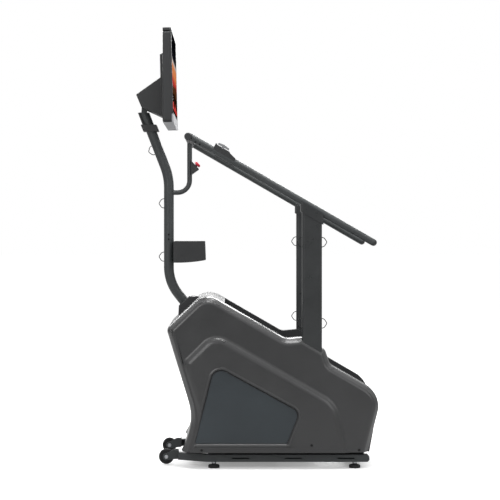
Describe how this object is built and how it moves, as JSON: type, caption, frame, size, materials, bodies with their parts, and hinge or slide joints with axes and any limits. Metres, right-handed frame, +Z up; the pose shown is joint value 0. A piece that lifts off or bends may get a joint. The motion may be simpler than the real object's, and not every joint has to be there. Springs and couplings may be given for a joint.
{
  "type": "stair climber",
  "caption": "Stair climber for home use: steps on a chain loop in a moulded base, side posts, sloping handrails, mast and a large tilting screen.",
  "frame": {"origin": "centre of the overall box on the floor plane", "axes": "+X to the user's mounting end, -X to the screen end, +Z up, the user's left side toward -Y"},
  "size_m": [1.1935, 0.735, 2.1419],
  "materials": {
    "plate_black": "matt black",
    "frame_paint": "satin charcoal powder coat",
    "post_paint": "satin dark grey powder coat",
    "cover_plastic": "fine moulded texture",
    "panel_plastic": "smooth satin blue-grey",
    "black_plastic": "fine texture",
    "tread_plastic": "ribbed",
    "dark_steel": "black oxide",
    "bright_steel": "machined",
    "cast_metal": "machined and painted",
    "silver_plastic": "silver satin",
    "pale_plastic": "pale grey satin",
    "button_red": "glossy red",
    "screen": "black display glass",
    "rubber": "matt"
  },
  "bodies": {
    "frame": {"base_rails": "frame_paint", "cross_tubes": "frame_paint", "entry_step": "tread_plastic", "foot_locknuts": "bright_steel", "front_cover": "cover_plastic", "inner_skirts": "black_plastic", "left_cover": "cover_plastic", "right_cover": "cover_plastic", "side_panels": "panel_plastic", "shaft_bearings": "cast_metal", "side_plates": "plate_black", "wheel_axles": "bright_steel", "wheel_brackets": "frame_paint", "drive_belt": "rubber", "brake_unit": "black_plastic", "mast": "frame_paint", "support_tube": "frame_paint", "handlebar": "frame_paint", "left_handrail": "frame_paint", "right_handrail": "frame_paint", "tube_end_caps": "black_plastic", "left_post": "post_paint", "right_post": "post_paint", "post_saddles": "post_paint", "band_loops": "dark_steel", "cover_screws": "dark_steel", "frame_bolts": "dark_steel", "mast_base_cover": "black_plastic", "mast_collar": "black_plastic", "bottle_tray": "black_plastic", "estop_housing": "black_plastic", "control_pods": "black_plastic", "console_neck": "frame_paint"},
    "drive_set": {"drive_shaft": "dark_steel", "drive_pulley": "cast_metal", "drive_chain_wraps": "bright_steel", "turning_step": "tread_plastic"},
    "idler_set": {"idler_shaft": "dark_steel", "idler_chain_wraps": "bright_steel"},
    "upper_run": {"upper_chains": "bright_steel", "upper_steps": "tread_plastic"},
    "return_run": {"return_chains": "bright_steel", "return_steps": "tread_plastic"},
    "brake_set": {"brake_shaft": "dark_steel", "flywheel": "cast_metal"},
    "console": {"console_housing": "black_plastic", "console_bezel": "black_plastic", "screen_glass": "screen", "console_chin": "silver_plastic", "neck_cover": "black_plastic", "hinge_pin": "bright_steel"},
    "estop_button": {"estop_button": "button_red"},
    "left_toggle": {"left_toggle": "pale_plastic"},
    "right_toggle": {"right_toggle": "pale_plastic"},
    "left_wheel": {"left_wheel": "rubber"},
    "right_wheel": {"right_wheel": "rubber"},
    "foot_front_left": {"foot_front_left": "rubber"},
    "foot_front_right": {"foot_front_right": "rubber"},
    "foot_rear_left": {"foot_rear_left": "rubber"},
    "foot_rear_right": {"foot_rear_right": "rubber"}
  },
  "joints": [
    {"name": "drive_turn", "type": "hinge", "parent": "frame", "child": "drive_set", "pos_m": [-0.165, 0, 0.576], "axis": [0, -1, 0], "range_deg": [-90, 90]},
    {"name": "idler_turn", "type": "hinge", "parent": "frame", "child": "idler_set", "pos_m": [0.245, 0, 0.256], "axis": [0, -1, 0], "range_deg": [-90, 90]},
    {"name": "upper_run_travel", "type": "slide", "parent": "frame", "child": "upper_run", "axis": [-0.7883, 0, 0.6153], "range_m": [-0.06501, 0.06501]},
    {"name": "return_run_travel", "type": "slide", "parent": "frame", "child": "return_run", "axis": [0.7883, 0, -0.6153], "range_m": [-0.06501, 0.06501]},
    {"name": "brake_turn", "type": "hinge", "parent": "frame", "child": "brake_set", "pos_m": [-0.205, 0, 0.19], "axis": [0, -1, 0], "range_deg": [-450, 450]},
    {"name": "console_tilt", "type": "hinge", "parent": "frame", "child": "console", "pos_m": [-0.55, 0, 1.802], "axis": [0, 1, 0], "range_deg": [-8, 8]},
    {"name": "estop_press", "type": "slide", "parent": "frame", "child": "estop_button", "axis": [-0.7385, 0, -0.6743], "range_m": [0, 0.004], "stiffness_N_per_m": 2500},
    {"name": "left_toggle_rock", "type": "hinge", "parent": "frame", "child": "left_toggle", "pos_m": [-0.15487, -0.32, 1.55222], "axis": [0, 1, 0], "range_deg": [-6, 6], "stiffness_Nm_per_rad": 2},
    {"name": "right_toggle_rock", "type": "hinge", "parent": "frame", "child": "right_toggle", "pos_m": [-0.15487, 0.32, 1.55222], "axis": [0, 1, 0], "range_deg": [-6, 6], "stiffness_Nm_per_rad": 2},
    {"name": "left_wheel_spin", "type": "hinge", "parent": "frame", "child": "left_wheel", "pos_m": [-0.434, -0.198, 0.0395], "axis": [0, 1, 0], "continuous": true},
    {"name": "right_wheel_spin", "type": "hinge", "parent": "frame", "child": "right_wheel", "pos_m": [-0.434, 0.198, 0.0395], "axis": [0, 1, 0], "continuous": true},
    {"name": "foot_front_left_adjust", "type": "slide", "parent": "frame", "child": "foot_front_left", "axis": [0, 0, -1], "range_m": [0, 0.012]},
    {"name": "foot_front_right_adjust", "type": "slide", "parent": "frame", "child": "foot_front_right", "axis": [0, 0, -1], "range_m": [0, 0.012]},
    {"name": "foot_rear_left_adjust", "type": "slide", "parent": "frame", "child": "foot_rear_left", "axis": [0, 0, -1], "range_m": [0, 0.012]},
    {"name": "foot_rear_right_adjust", "type": "slide", "parent": "frame", "child": "foot_rear_right", "axis": [0, 0, -1], "range_m": [0, 0.012]}
  ],
  "couplings": [
    {"joint": "idler_turn", "follows": "drive_turn", "ratio": 1},
    {"joint": "upper_run_travel", "follows": "drive_turn", "m_per_rad": 0.041388},
    {"joint": "return_run_travel", "follows": "drive_turn", "m_per_rad": 0.041388},
    {"joint": "brake_turn", "follows": "drive_turn", "ratio": 5}
  ]
}
